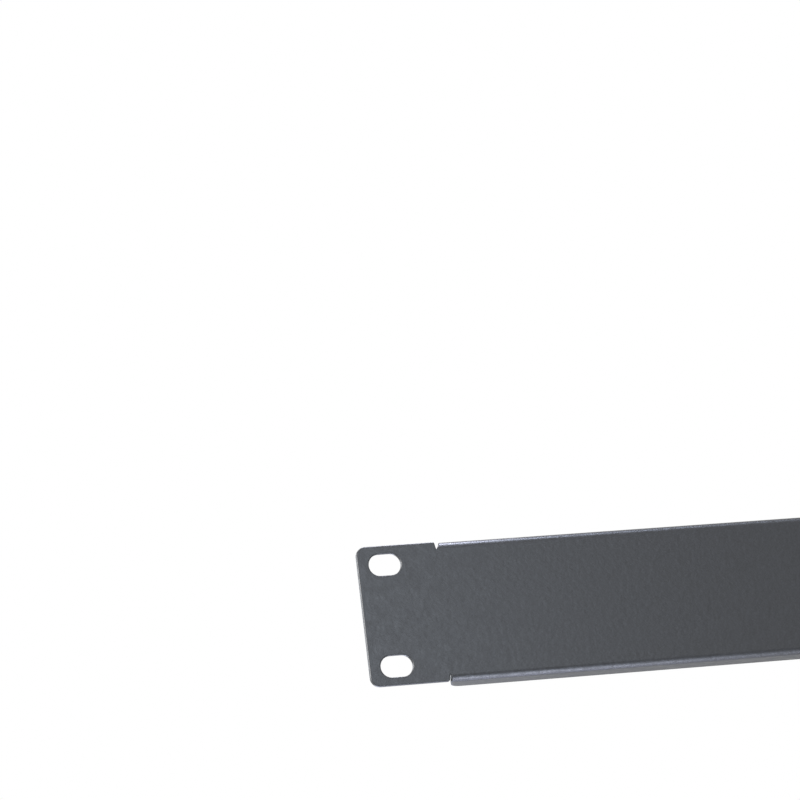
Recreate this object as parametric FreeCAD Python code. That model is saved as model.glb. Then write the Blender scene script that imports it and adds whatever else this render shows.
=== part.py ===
import FreeCAD, Part
import math
import os

# A one-unit blanking panel for a 19-inch equipment rack: one piece of steel sheet,
# punched flat, folded back along its top and bottom edges, and powder-coated.
# Frame: X runs across the panel, Z is up and the front face looks towards -Y.
# The origin is the centre of the four-slot pattern, in the plane of the ears' rear face,
# which is the plane that seats on the rack's rails.

# Driving dimensions, in millimetres and degrees.
panel_width = 482.6
panel_height = 43.66
sheet_thickness = 1.5

slot_from_side = 8.75
slot_from_edge = 5.955
slot_length = 10.3
slot_width = 6.8

ear_corner_radius = 3.0
edge_rollover = 0.3

flange_depth = 11.3
bend_inner_radius = 0.7
flange_end_angle = 14.0
flange_corner_radius = 1.5

notch_from_side = 25.6
notch_angle = 45.0
notch_tip_radius = 0.3
notch_past_bend = 0.1

# Sizes that follow from them.
half_width = panel_width / 2
half_height = panel_height / 2
slot_x = half_width - slot_from_side
slot_z = half_height - slot_from_edge
front_y = -sheet_thickness
bend_outer_radius = bend_inner_radius + sheet_thickness
bend_end_y = front_y + bend_outer_radius
free_edge_y = front_y + flange_depth
notch_x = half_width - notch_from_side
notch_depth = bend_outer_radius + notch_past_bend
notch_tip_z = half_height - notch_depth
notch_half_angle = math.radians(notch_angle / 2)
notch_touch_x = notch_tip_radius * math.cos(notch_half_angle)
notch_touch_z = notch_tip_z + notch_tip_radius * (1 - math.sin(notch_half_angle))


def notch_reach(z):
    """Half the width of a notch at a height z above its rounded tip."""
    return notch_touch_x + (z - notch_touch_z) * math.tan(notch_half_angle)


flange_end_x = notch_x - notch_reach(half_height)

UP = FreeCAD.Vector(0, 0, 1)
BACK = FreeCAD.Vector(0, 1, 0)
ACROSS = FreeCAD.Vector(1, 0, 0)


def point(x, y, z):
    return FreeCAD.Vector(x, y, z)


def line(start, end):
    return Part.LineSegment(start, end).toShape()


def arc(start, middle, end):
    return Part.Arc(start, middle, end).toShape()


def fillet_radius(wanted):
    """A punched edge's rounding, kept inside the sheet it is on."""
    return min(wanted, 0.45 * sheet_thickness)


def folded_profile():
    """The panel's cross-section: a web with a flange folded back at each edge."""
    outside = []
    inside = []
    diagonal = math.sqrt(0.5)
    for side in (-1, 1):
        centre_z = side * (half_height - bend_outer_radius)
        for radius, chain in ((bend_outer_radius, outside), (bend_inner_radius, inside)):
            web_y = bend_end_y - radius
            flange_z = centre_z + side * radius
            web_point = point(0, web_y, centre_z)
            mid_point = point(0, bend_end_y - radius * diagonal, centre_z + side * radius * diagonal)
            flange_point = point(0, bend_end_y, flange_z)
            free_point = point(0, free_edge_y, flange_z)
            chain.append((web_point, mid_point, flange_point, free_point))
    edges = []
    for chain in (outside, inside):
        low, high = chain
        edges.append(line(low[0], high[0]))
        for web_point, mid_point, flange_point, free_point in chain:
            edges.append(arc(web_point, mid_point, flange_point))
            edges.append(line(flange_point, free_point))
    for end in (0, 1):
        edges.append(line(outside[end][3], inside[end][3]))
    return Part.Face(Part.Wire(Part.sortEdges(edges)[0]))


def flange_outline():
    """The plan of the folded length: square at the web, with flange ends cut back at an angle."""
    pull_in = (free_edge_y - bend_end_y) * math.tan(math.radians(flange_end_angle))
    free_x = flange_end_x - pull_in
    corners = [
        point(-notch_x, front_y, 0),
        point(notch_x, front_y, 0),
        point(notch_x, 0, 0),
        point(flange_end_x, 0, 0),
        point(flange_end_x, bend_end_y, 0),
        point(free_x, free_edge_y, 0),
        point(-free_x, free_edge_y, 0),
        point(-flange_end_x, bend_end_y, 0),
        point(-flange_end_x, 0, 0),
        point(-notch_x, 0, 0),
    ]
    plan = Part.Face(Part.makePolygon(corners + corners[:1]))
    plan.translate(-half_height * UP)
    block = plan.extrude(panel_height * UP)
    free_corners = [
        edge
        for edge in block.Edges
        if all(abs(vertex.Y - free_edge_y) < 1e-6 for vertex in edge.Vertexes)
        and abs(edge.Vertexes[0].Z - edge.Vertexes[1].Z) > half_height
    ]
    return block.makeFillet(flange_corner_radius, free_corners)


def folded_length():
    """The channel between the two pairs of relief notches."""
    profile = folded_profile()
    profile.translate(-notch_x * ACROSS)
    channel = profile.extrude(2 * notch_x * ACROSS)
    return channel.common(flange_outline())


def slot_cutter(x, z):
    """A slot with full-round ends, along X, through the sheet."""
    radius = slot_width / 2
    reach = slot_length / 2 - radius
    y = front_y - sheet_thickness
    left_low = point(x - reach, y, z - radius)
    left_high = point(x - reach, y, z + radius)
    right_low = point(x + reach, y, z - radius)
    right_high = point(x + reach, y, z + radius)
    edges = [
        line(left_low, right_low),
        arc(right_low, point(x + reach + radius, y, z), right_high),
        line(right_high, left_high),
        arc(left_high, point(x - reach - radius, y, z), left_low),
    ]
    return Part.Face(Part.Wire(edges)).extrude(3 * sheet_thickness * BACK)


def ear(side):
    """One flat end of the panel, from the side edge to its relief notches, with two slots."""
    low_x = notch_x if side > 0 else -half_width
    plate = Part.makeBox(notch_from_side, sheet_thickness, panel_height, point(low_x, front_y, -half_height))
    outer_x = side * half_width
    corners = [
        edge
        for edge in plate.Edges
        if all(abs(vertex.X - outer_x) < 1e-6 for vertex in edge.Vertexes)
        and abs(edge.Vertexes[0].Y - edge.Vertexes[1].Y) > 1e-6
    ]
    plate = plate.makeFillet(ear_corner_radius, corners)
    for level in (-1, 1):
        slot = slot_cutter(side * slot_x, level * slot_z)
        plate = plate.cut(slot)
    front_edges = []
    for edge in plate.Edges:
        on_front = all(abs(vertex.Y - front_y) < 1e-6 for vertex in edge.Vertexes)
        on_joint = all(abs(vertex.X - side * notch_x) < 1e-6 for vertex in edge.Vertexes)
        if on_front and not on_joint:
            front_edges.append(edge)
    return plate.makeFillet(fillet_radius(edge_rollover), front_edges)


def notch_cutter(x_side, z_side):
    """A V-shaped relief notch with a rounded tip, where a bend ends at an ear."""
    mouth_z = half_height + notch_depth
    mouth_x = notch_reach(mouth_z)
    y = front_y - sheet_thickness
    outline = (
        (-mouth_x, mouth_z),
        (-notch_touch_x, notch_touch_z),
        (0, notch_tip_z),
        (notch_touch_x, notch_touch_z),
        (mouth_x, mouth_z),
    )
    corners = [point(x_side * notch_x + x, y, z_side * z) for x, z in outline]
    edges = [
        line(corners[0], corners[1]),
        arc(corners[1], corners[2], corners[3]),
        line(corners[3], corners[4]),
        line(corners[4], corners[0]),
    ]
    return Part.Face(Part.Wire(edges)).extrude((bend_end_y - y) * BACK)


def blanking_panel():
    """The folded length with an ear at each end and a relief notch at each end of each bend."""
    panel = folded_length().fuse([ear(-1), ear(1)])
    notches = [notch_cutter(x_side, z_side) for x_side in (-1, 1) for z_side in (-1, 1)]
    return panel.cut(notches).removeSplitter()


os.makedirs("parts", exist_ok=True)
blanking_panel().exportStep("parts/blanking_panel.step")
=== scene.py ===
import math

import bpy
import numpy as np
from mathutils import Matrix, Vector, geometry


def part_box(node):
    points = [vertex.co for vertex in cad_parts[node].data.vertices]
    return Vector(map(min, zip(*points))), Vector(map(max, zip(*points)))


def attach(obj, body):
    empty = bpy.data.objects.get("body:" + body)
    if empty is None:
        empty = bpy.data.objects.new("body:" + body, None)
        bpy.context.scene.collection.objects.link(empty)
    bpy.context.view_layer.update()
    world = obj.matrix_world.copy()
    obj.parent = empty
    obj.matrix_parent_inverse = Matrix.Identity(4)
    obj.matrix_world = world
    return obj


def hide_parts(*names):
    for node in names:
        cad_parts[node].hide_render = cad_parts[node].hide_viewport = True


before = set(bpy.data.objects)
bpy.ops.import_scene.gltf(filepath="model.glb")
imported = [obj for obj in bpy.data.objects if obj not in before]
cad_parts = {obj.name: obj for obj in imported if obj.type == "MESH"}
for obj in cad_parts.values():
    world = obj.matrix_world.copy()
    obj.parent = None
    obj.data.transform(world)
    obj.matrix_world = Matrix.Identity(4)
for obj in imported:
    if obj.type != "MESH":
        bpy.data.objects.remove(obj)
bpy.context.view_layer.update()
scene = bpy.context.scene
scene.view_settings.view_transform = "Standard"


# The camera: a long lens in front of the left end and a little below it, tilted up and rolled,
# so that the panel's left end is at the lower right of the frame and the rest runs out of it.
camera_place = Vector((-0.54823, -1.23871, -0.22208))
camera_heading = math.radians(14.787)
camera_tilt = math.radians(12.748)
camera_roll = math.radians(-6.850)

camera_data = bpy.data.cameras.new("camera")
camera_data.lens = 190
camera_data.sensor_width = 36
camera_data.clip_start = 0.05
camera_data.clip_end = 50
camera = bpy.data.objects.new("camera", camera_data)
scene.collection.objects.link(camera)
level_turn = Matrix.Rotation(-camera_heading, 4, "Z") @ Matrix.Rotation(math.pi / 2 + camera_tilt, 4, "X")
camera.matrix_world = Matrix.Translation(camera_place) @ level_turn @ Matrix.Rotation(camera_roll, 4, "Z")
scene.camera = camera


# The studio: a white surround, a pale matt floor well below the panel, and soft lamps near the left end.
# The surround is full white where it is seen, mirrored or looked through, and dimmer as a light.
WHITE_LEVEL = 1.0
LIGHT_LEVEL = 0.6


def linear(code):
    """An sRGB hex colour as linear RGBA, by the sRGB curve."""
    channels = np.array([int(code[i : i + 2], 16) for i in (1, 3, 5)]) / 255
    bright = ((channels + 0.055) / 1.055) ** 2.4
    return (*np.where(channels <= 0.04045, channels / 12.92, bright), 1.0)


def add(tree, kind, links=None, settings=None, **values):
    """A node of that kind: links are its linked sockets, each from an output socket, settings its own
    properties, and values its unlinked sockets by name."""
    node = tree.nodes.new(kind)
    for name, value in (settings or {}).items():
        setattr(node, name, value)
    for name, value in values.items():
        node.inputs[name.replace("_", " ")].default_value = value
    for name, source in (links or {}).items():
        tree.links.new(source, node.inputs[name])
    return node


surround = bpy.data.worlds.new("white_surround")
scene.world = surround
surround.use_nodes = True
sky = surround.node_tree
sky.nodes.clear()
ray = add(sky, "ShaderNodeLightPath")
seen_or_mirrored = add(
    sky,
    "ShaderNodeMath",
    {0: ray.outputs["Is Camera Ray"], 1: ray.outputs["Is Glossy Ray"]},
    settings={"operation": "MAXIMUM"},
)
looks_out = add(
    sky,
    "ShaderNodeMath",
    {0: seen_or_mirrored.outputs[0], 1: ray.outputs["Is Transmission Ray"]},
    settings={"operation": "MAXIMUM"},
)
strength = add(
    sky,
    "ShaderNodeMapRange",
    {"Value": looks_out.outputs[0]},
    To_Min=LIGHT_LEVEL,
    To_Max=WHITE_LEVEL,
)
sky_light = add(
    sky,
    "ShaderNodeBackground",
    {"Strength": strength.outputs[0]},
    Color=linear("#ffffff"),
)
add(sky, "ShaderNodeOutputWorld", {"Surface": sky_light.outputs[0]})

floor_level = -0.7
floor_reach = 6.0
floor_mesh = bpy.data.meshes.new("floor")
floor_mesh.from_pydata(
    [(x * floor_reach, y * floor_reach, floor_level) for x, y in ((-1, -1), (1, -1), (1, 1), (-1, 1))],
    [],
    [(0, 1, 2, 3)],
)
floor = bpy.data.objects.new("floor", floor_mesh)
scene.collection.objects.link(floor)
pale_paper = bpy.data.materials.new("pale_matt_paper")
pale_paper.use_nodes = True
pale_paper.node_tree.nodes.clear()
paper = add(pale_paper.node_tree, "ShaderNodeBsdfDiffuse", Color=linear("#f3f3f1"))
add(pale_paper.node_tree, "ShaderNodeOutputMaterial", {"Surface": paper.outputs[0]})
floor_mesh.materials.append(pale_paper)


# What the lamps face: a point on the panel near its left end.
left_end = Vector((-0.20, 0, 0))


def softbox(name, lean, turn, distance, size, watts, colour):
    """A square lamp that faces the left end and that the camera never sees. Its direction from there
    leans along X by that share, and turns from straight ahead (0) up over the top (90) to behind (180)."""
    lamp = bpy.data.lights.new(name, "AREA")
    lamp.size = size
    lamp.energy = watts
    lamp.color = linear(colour)[:3]
    stand = bpy.data.objects.new(name, lamp)
    scene.collection.objects.link(stand)
    level = math.sqrt(1 - lean * lean)
    turn = math.radians(turn)
    outward = Vector((lean, -level * math.cos(turn), level * math.sin(turn)))
    stand.location = left_end + distance * outward
    stand.rotation_euler = outward.to_track_quat("Z", "Y").to_euler()
    stand.visible_camera = False


softbox("key", 0.0, 5, 0.55, 0.25, 0.80, "#e3f0ff")
softbox("overhead", 0.24, 80, 0.55, 0.14, 1.20, "#d8e4ff")
softbox("edge_above", 0.0, 90, 0.15, 0.06, 0.30, "#e7eaff")
softbox("under_front", 0.24, -50, 0.55, 0.14, 0.33, "#d3e3ff")
softbox("under_mid", 0.24, -70, 0.55, 0.14, 1.15, "#e2e9ff")
softbox("under_flat", 0.24, -90, 0.55, 0.14, 1.10, "#e2e8ff")
softbox("under_rear", 0.24, -120, 0.55, 0.14, 0.40, "#d4dbff")
softbox("low_back", -0.05, -150, 0.55, 0.14, 0.80, "#dbe3ff")
softbox("side_back", -0.30, 168, 0.75, 0.20, 0.50, "#eaf4ff")
softbox("side_left", -0.95, 40, 0.75, 0.20, 14.0, "#ffffff")


# The panel: one piece of 1.5 mm steel sheet, punched flat and folded back along its top and bottom
# edges, with a notch at each end of each bend so that the ears stay flat. It is powder-coated all over.
# Sizes are in millimetres and degrees.
METRE = 1000
THICKNESS = 1.5
BEND_OUTER_RADIUS = 2.2
FRONT_ROLL_RADIUS = 0.36
BACK_ROLL_RADIUS = 0.16

# How far past a bend or a roll the next points lie, to keep the curve tight and the flat beside it flat.
BEND_SUPPORT = 0.25
ROLL_SUPPORT = 0.12

SLOT_FROM_SIDE = 8.75
SLOT_FROM_EDGE = 5.955
SLOT_LENGTH = 10.3
SLOT_WIDTH = 6.8
EAR_CORNER_RADIUS = 3.0

# Each edge's notches: how far in from the side, and the lean of the ear's wall and of the bend's wall.
# The mouth's radius stays above the front roll and its support, which follow it inside.
TOP_NOTCH = (25.6, 11, 28)
BOTTOM_NOTCH = (25.35, 11, 0)
NOTCH_TIP_RADIUS = 0.15
NOTCH_TIP_RISE = 0.25
NOTCH_MOUTH_RADIUS = 0.55
FLANGE_END_ANGLE = 15
FLANGE_CORNER_RADIUS = 4.5

box_low, box_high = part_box("blanking_panel")
half_width = box_high.x * METRE
half_height = box_high.z * METRE
free_edge_y = box_high.y * METRE
bend_centre_y = BEND_OUTER_RADIUS - THICKNESS
bend_start = half_height - BEND_OUTER_RADIUS
bend_end = bend_start + BEND_OUTER_RADIUS * math.pi / 2
blank_half_height = bend_end + free_edge_y - bend_centre_y
tip_centre_z = bend_start + NOTCH_TIP_RISE
flange_end_slope = math.tan(math.radians(FLANGE_END_ANGLE))


def notch_reach(z, lean):
    """From the notch's middle to its wall at a height: the wall touches the tip's circle and leans by so
    many degrees, so that is radius / cos(lean) + height above the circle's centre x tan(lean)."""
    lean = math.radians(lean)
    return NOTCH_TIP_RADIUS / math.cos(lean) + (z - tip_centre_z) * math.tan(lean)


def straight(start, end, count):
    """Points from start up to, but not at, end: start plus an even share of the way."""
    share = np.arange(count)[:, None] / count
    return np.asarray(start) + share * (np.asarray(end) - np.asarray(start))


def arc(centre, radius, start_deg, end_deg, count):
    """Points at a radius from a centre, at even angles, both ends included."""
    angle = np.radians(np.linspace(start_deg, end_deg, count))[:, None]
    return np.asarray(centre) + radius * np.hstack([np.cos(angle), np.sin(angle)])


def rounded(before, corner, after, radius, count):
    """The arc that replaces a corner: it touches both edges at radius / tan(half their angle) from it."""
    to_before = (before - corner) / np.linalg.norm(before - corner)
    to_after = (after - corner) / np.linalg.norm(after - corner)
    half = math.acos(float(to_before @ to_after)) / 2
    middle = (to_before + to_after) / np.linalg.norm(to_before + to_after)
    centre = corner + middle * radius / math.sin(half)
    first = corner + to_before * radius / math.tan(half) - centre
    last = corner + to_after * radius / math.tan(half) - centre
    start = math.degrees(math.atan2(first[1], first[0]))
    turn = (math.degrees(math.atan2(last[1], last[0])) - start + 180) % 360 - 180
    return arc(centre, radius, start, start + turn, count)


def quarter_edge(from_side, ear_lean, bend_lean):
    """A quarter of the blank's edge, from the middle of the ear's side to the middle of the free edge:
    up the side, round the ear's corner, in along its top, down and up the notch, then along the
    flange's sloping end and round its corner. The notch's far wall is measured along the bend."""
    side = np.array([half_width, 0.0])
    ear_corner = np.array([half_width, half_height])
    notch_x = half_width - from_side
    mouth = np.array([notch_x + notch_reach(half_height, ear_lean), half_height])
    tip = arc((notch_x, tip_centre_z), NOTCH_TIP_RADIUS, -ear_lean, bend_lean - 180, count=9)
    ear_arc = rounded(side, ear_corner, mouth, EAR_CORNER_RADIUS, count=13)
    mouth_arc = rounded(ear_corner, mouth, tip[0], NOTCH_MOUTH_RADIUS, count=7)
    tip_angle = math.asin((tip[-1, 1] - bend_start) / BEND_OUTER_RADIUS)
    angle = np.linspace(tip_angle, math.pi / 2, num=11)[1:]
    wall = np.column_stack(
        [
            notch_x - notch_reach(bend_start + BEND_OUTER_RADIUS * np.sin(angle), bend_lean),
            bend_start + BEND_OUTER_RADIUS * angle,
        ]
    )
    flange_end_x = wall[-1, 0] - (blank_half_height - bend_end) * flange_end_slope
    flange_corner = np.array([flange_end_x, blank_half_height])
    middle = np.array([0.0, blank_half_height])
    flange_arc = rounded(wall[-1], flange_corner, middle, FLANGE_CORNER_RADIUS, count=15)
    return np.vstack(
        [
            straight(side, ear_arc[0], count=6),
            ear_arc,
            straight(ear_arc[-1], mouth_arc[0], count=5)[1:],
            mouth_arc,
            straight(mouth_arc[-1], tip[0], count=4)[1:],
            tip,
            wall,
            straight(wall[-1], flange_arc[0], count=5)[1:],
            flange_arc,
            straight(flange_arc[-1], middle, count=28)[1:],
            middle[None],
        ]
    )


def blank_edge():
    """The whole edge, anticlockwise: an upper and a lower quarter, each with its mirror image, and the
    shared ends left out."""
    halves = []
    for notch in (TOP_NOTCH, BOTTOM_NOTCH):
        quarter = quarter_edge(*notch)
        halves.append(np.vstack([quarter, (quarter * (-1, 1))[-2::-1]]))
    upper, lower = halves
    return np.vstack([upper, (lower * (1, -1))[-2:0:-1]])


def slot_edge(x, z):
    """A slot with full-round ends, clockwise, so that the sheet is on its left as it is of the edge."""
    radius = SLOT_WIDTH / 2
    reach = SLOT_LENGTH / 2 - radius
    right = arc((x + reach, z), radius, 90, -90, count=21)
    left = arc((x - reach, z), radius, -90, -270, count=21)
    bottom = straight(right[-1], left[0], count=4)[1:]
    top = straight(left[-1], right[0], count=4)[1:]
    return np.vstack([right, bottom, left, top])


def mitres(loop):
    """For each point, the step into the sheet that moves both edges beside it in by one unit."""
    along = np.roll(loop, -1, 0) - loop
    along /= np.linalg.norm(along, axis=1)[:, None]
    inward = np.column_stack([-along[:, 1], along[:, 0]])
    before = np.roll(inward, 1, 0)
    return (before + inward) / (1 + (before * inward).sum(1))[:, None]


def rim_profile():
    """The cut edge's section as (distance in from the edge, depth below the front), front to back:
    a rolled-over quarter circle at the front, a straight wall, and a smaller quarter circle behind."""
    front = np.radians(np.linspace(0, 90, num=6))
    back = np.radians(np.linspace(0, 90, num=4))
    front_arc = FRONT_ROLL_RADIUS * np.column_stack([1 - np.sin(front), 1 - np.cos(front)])
    back_arc = (0, THICKNESS) + BACK_ROLL_RADIUS * np.column_stack([1 - np.cos(back), np.sin(back) - 1])
    return np.vstack(
        [
            (FRONT_ROLL_RADIUS + ROLL_SUPPORT, 0),
            front_arc,
            (0, FRONT_ROLL_RADIUS + ROLL_SUPPORT),
            (0, THICKNESS - BACK_ROLL_RADIUS - ROLL_SUPPORT),
            back_arc,
            (BACK_ROLL_RADIUS + ROLL_SUPPORT, THICKNESS),
        ]
    )


def inside(points, loops):
    """Whether each point is in the sheet: a line from it to the right crosses the loops an odd number
    of times."""
    x, y = points[:, :1], points[:, 1:]
    crossings = np.zeros(len(points), int)
    for loop in loops:
        x0, y0 = loop.T
        x1, y1 = np.roll(loop, -1, 0).T
        spans = (y0 > y) != (y1 > y)
        rise = np.where(y1 == y0, 1, y1 - y0)
        crossings += (spans & (x < x0 + (y - y0) / rise * (x1 - x0))).sum(1)
    return crossings % 2 == 1


# The rows along a bend: how many there are, the points in each, how far each stops short of the notch,
# and how far past the bend two more run along the flange.
ROWS_IN_BEND = 13
ROW_POINTS = 61
ROW_END_GAP = 0.9
FLANGE_ROWS = (3, 6)


def bend_rows():
    """Points in straight rows along both bends, with one more row just to each side, which keep the
    folds smooth and the flats flat. Each row stops short of the edge. Also the edges that join them."""
    in_bend = np.linspace(bend_start, bend_end, ROWS_IN_BEND)
    past_bend = bend_end + np.array([BEND_SUPPORT, *FLANGE_ROWS])
    heights = np.concatenate([[bend_start - BEND_SUPPORT], in_bend, past_bend])
    angle = np.clip((heights - bend_start) / BEND_OUTER_RADIUS, 0, math.pi / 2)
    shares = np.linspace(-1, 1, ROW_POINTS)
    v = np.repeat(heights[:, None], len(shares), 1)
    index = np.arange(v.size).reshape(v.shape)
    joins = np.column_stack([index[:, :-1].ravel(), index[:, 1:].ravel()])
    rows = []
    for side, (from_side, _, bend_lean) in ((1, TOP_NOTCH), (-1, BOTTOM_NOTCH)):
        tips = half_width - from_side - ROW_END_GAP
        tips = tips - notch_reach(bend_start + BEND_OUTER_RADIUS * np.sin(angle), bend_lean)
        tips -= np.clip(heights - bend_end, 0, None) * flange_end_slope
        u = tips[:, None] * shares
        rows.append(np.column_stack([u.ravel(), side * v.ravel()]))
    return np.vstack(rows), np.vstack([joins, joins + v.size])


# The grid on the flat: its columns and rows, how far up and down it reaches, and its gap to any edge.
GRID_COLUMNS = 69
GRID_ROWS = 6
GRID_REACH = 16.5
GRID_EDGE_GAP = 1.2


def flat_field(loops):
    """An even grid of points over the flat web and ears, clear of their edges and of the bends."""
    columns = np.linspace(-half_width, half_width, GRID_COLUMNS)[1:-1]
    u, v = np.meshgrid(columns, np.linspace(-GRID_REACH, GRID_REACH, GRID_ROWS))
    points = np.column_stack([u.ravel(), v.ravel()])
    edge = np.vstack(loops)
    near = np.linalg.norm(points[:, None] - edge[None], axis=2).min(1)
    return points[inside(points, loops) & (near > GRID_EDGE_GAP)]


# How Blender's triangulation is asked: for every triangle, also those outside the loops, and with
# points this close merged. No two of these points are, so its triangles number them as given.
ALL_TRIANGLES = 0
MERGE_DISTANCE = 1e-7


def cap(loops):
    """One side of the blank as triangles: the loops and the inner points, joined by Delaunay's rule,
    which keeps every loop and row as an edge. Triangles outside the sheet are dropped."""
    rows, joins = bend_rows()
    points = np.vstack([*loops, rows, flat_field(loops)])
    starts = np.cumsum([0] + [len(loop) for loop in loops])
    sides = []
    for loop, start in zip(loops, starts):
        index = np.arange(len(loop))
        sides.append(start + np.column_stack([index, np.roll(index, -1)]))
    sides = np.vstack([*sides, joins + starts[-1]])
    vectors = [Vector(p) for p in points]
    made = geometry.delaunay_2d_cdt(vectors, sides.tolist(), [], ALL_TRIANGLES, MERGE_DISTANCE)
    flat = np.array([list(p) for p in made[0]])
    triangles = np.array(made[2])
    middle = flat[triangles].mean(1)
    return points, triangles[inside(middle, loops)]


def fold(u, v, depth):
    """Where a point of the flat blank goes. The web and the ears stay in the plane of the sheet; a point
    past the start of a bend turns about its centre by arc length / outer radius, and past a quarter
    turn it carries on straight back. Depth is measured from the front surface along its normal.
    Millimetres go in and metres come out."""
    ear_start = half_width - np.where(v > 0, TOP_NOTCH[0], BOTTOM_NOTCH[0])
    past = np.where(np.abs(u) < ear_start, np.abs(v) - bend_start, -1.0)
    angle = np.clip(past / BEND_OUTER_RADIUS, 0, math.pi / 2)
    radius = BEND_OUTER_RADIUS - depth
    y = bend_centre_y - radius * np.cos(angle) + np.clip(past - (bend_end - bend_start), 0, None)
    z = np.sign(v) * (np.where(past > 0, bend_start, np.abs(v)) + radius * np.sin(angle))
    return np.column_stack([u, y, z]) / METRE


slot_x = half_width - SLOT_FROM_SIDE
slot_z = half_height - SLOT_FROM_EDGE
slots = [slot_edge(side * slot_x, level * slot_z) for side in (-1, 1) for level in (-1, 1)]
profile = rim_profile()

# The rims: round the blank's edge and each slot, the profile makes rings that quads join.
flat_points = []
depths = []
rim_shares = []
faces = []
total = 0
front_loops = []
back_loops = []
front_index = []
back_index = []
for edge in (blank_edge(), *slots):
    rings = edge[None] + profile[:, :1, None] * mitres(edge)[None]
    index = total + np.arange(len(profile) * len(edge)).reshape(len(profile), len(edge))
    ahead = np.roll(index, -1, 1)
    quads = np.stack([index[:-1], index[1:], ahead[1:], ahead[:-1]], 2).reshape(-1, 4)
    faces += quads.tolist()
    flat_points.append(rings.reshape(-1, 2))
    depths.append(np.repeat(profile[:, 1], len(edge)))
    rim_shares.append(np.repeat(np.r_[0, np.ones(len(profile) - 2), 0], len(edge)))
    front_loops.append(rings[0])
    back_loops.append(rings[-1])
    front_index.append(index[0])
    back_index.append(index[-1])
    total += index.size

# The front and the back: triangles between the rims' innermost rings, turned over on the back.
for loops, loop_index, depth, turn in (
    (front_loops, front_index, 0.0, 1),
    (back_loops, back_index, THICKNESS, -1),
):
    points, triangles = cap(loops)
    on_loops = sum(len(loop) for loop in loops)
    inner = points[on_loops:]
    renumber = np.concatenate([*loop_index, total + np.arange(len(inner))])
    faces += renumber[triangles][:, ::turn].tolist()
    flat_points.append(inner)
    depths.append(np.full(len(inner), depth))
    rim_shares.append(np.zeros(len(inner)))
    total += len(inner)

blank = np.vstack(flat_points)
panel_mesh = bpy.data.meshes.new("folded_panel")
panel_mesh.from_pydata(fold(blank[:, 0], blank[:, 1], np.concatenate(depths)).tolist(), [], faces)
panel_mesh.polygons.foreach_set("use_smooth", np.ones(len(faces), bool))
rim = panel_mesh.attributes.new("rim", "FLOAT", "POINT")
rim.data.foreach_set("value", np.concatenate(rim_shares).astype(np.float32))
panel_mesh.validate()
panel_mesh.update()
panel = bpy.data.objects.new("folded_panel", panel_mesh)
scene.collection.objects.link(panel)


# Black powder coat with a fine texture: sprayed as dust and melted on, so it covers every edge,
# levels less than paint and leaves tiny peaks and dips that break up its low, wide sheen.

# Widths and heights are in millimetres. The real grain is finer than this, too fine to show, so it is
# drawn coarser, with the slower dips and the patches of duller sheen in proportion.
GRAIN_WIDTH = 0.55
GRAIN_HEIGHT = 0.022
DIP_WIDTH = 1.7
DIP_HEIGHT = 0.08
PATCH_WIDTH = 2.6
BUMP_STRENGTH = 0.8

# The coat's colours and its sheen are spread over this range of the noises and stay even past it.
NOISE_LOW = 0.3
NOISE_HIGH = 0.7
GLOSSIEST = 0.33
DULLEST = 0.43
CUT_EDGE_DULLNESS = 0.46

coat = bpy.data.materials.new("black_fine_texture_powder_coat")
coat.use_nodes = True
tree = coat.node_tree
tree.nodes.clear()
place = add(tree, "ShaderNodeTexCoord").outputs["Object"]
grain = add(tree, "ShaderNodeTexNoise", {"Vector": place}, Scale=METRE / GRAIN_WIDTH)
dips = add(tree, "ShaderNodeTexNoise", {"Vector": place}, Scale=METRE / DIP_WIDTH, Detail=1.0)
patches = add(tree, "ShaderNodeTexNoise", {"Vector": place}, Scale=METRE / PATCH_WIDTH)
tint = add(tree, "ShaderNodeValToRGB", {"Fac": grain.outputs["Fac"]})
tint.color_ramp.elements[0].position = NOISE_LOW
tint.color_ramp.elements[0].color = linear("#1f2022")
tint.color_ramp.elements[1].position = NOISE_HIGH
tint.color_ramp.elements[1].color = linear("#26272a")
sheen = add(
    tree,
    "ShaderNodeMapRange",
    {"Value": patches.outputs["Fac"]},
    From_Min=NOISE_LOW,
    From_Max=NOISE_HIGH,
    To_Min=GLOSSIEST,
    To_Max=DULLEST,
)
# Powder thins over a cut edge, so the rims are rougher and have no patches.
cut_edge = add(tree, "ShaderNodeAttribute", settings={"attribute_name": "rim"})
edge_sheen = add(
    tree,
    "ShaderNodeMapRange",
    {"Value": cut_edge.outputs["Fac"], "To Min": sheen.outputs[0]},
    To_Max=CUT_EDGE_DULLNESS,
)
grain_bump = add(
    tree,
    "ShaderNodeBump",
    {"Height": grain.outputs["Fac"]},
    Strength=BUMP_STRENGTH,
    Distance=GRAIN_HEIGHT / METRE,
)
dip_bump = add(
    tree,
    "ShaderNodeBump",
    {"Height": dips.outputs["Fac"], "Normal": grain_bump.outputs[0]},
    Strength=BUMP_STRENGTH,
    Distance=DIP_HEIGHT / METRE,
)
shader = add(
    tree,
    "ShaderNodeBsdfPrincipled",
    {
        "Base Color": tint.outputs["Color"],
        "Roughness": edge_sheen.outputs[0],
        "Normal": dip_bump.outputs[0],
    },
    IOR=1.5,
)
add(tree, "ShaderNodeOutputMaterial", {"Surface": shader.outputs[0]})
panel_mesh.materials.append(coat)

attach(panel, "root")
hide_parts("blanking_panel")
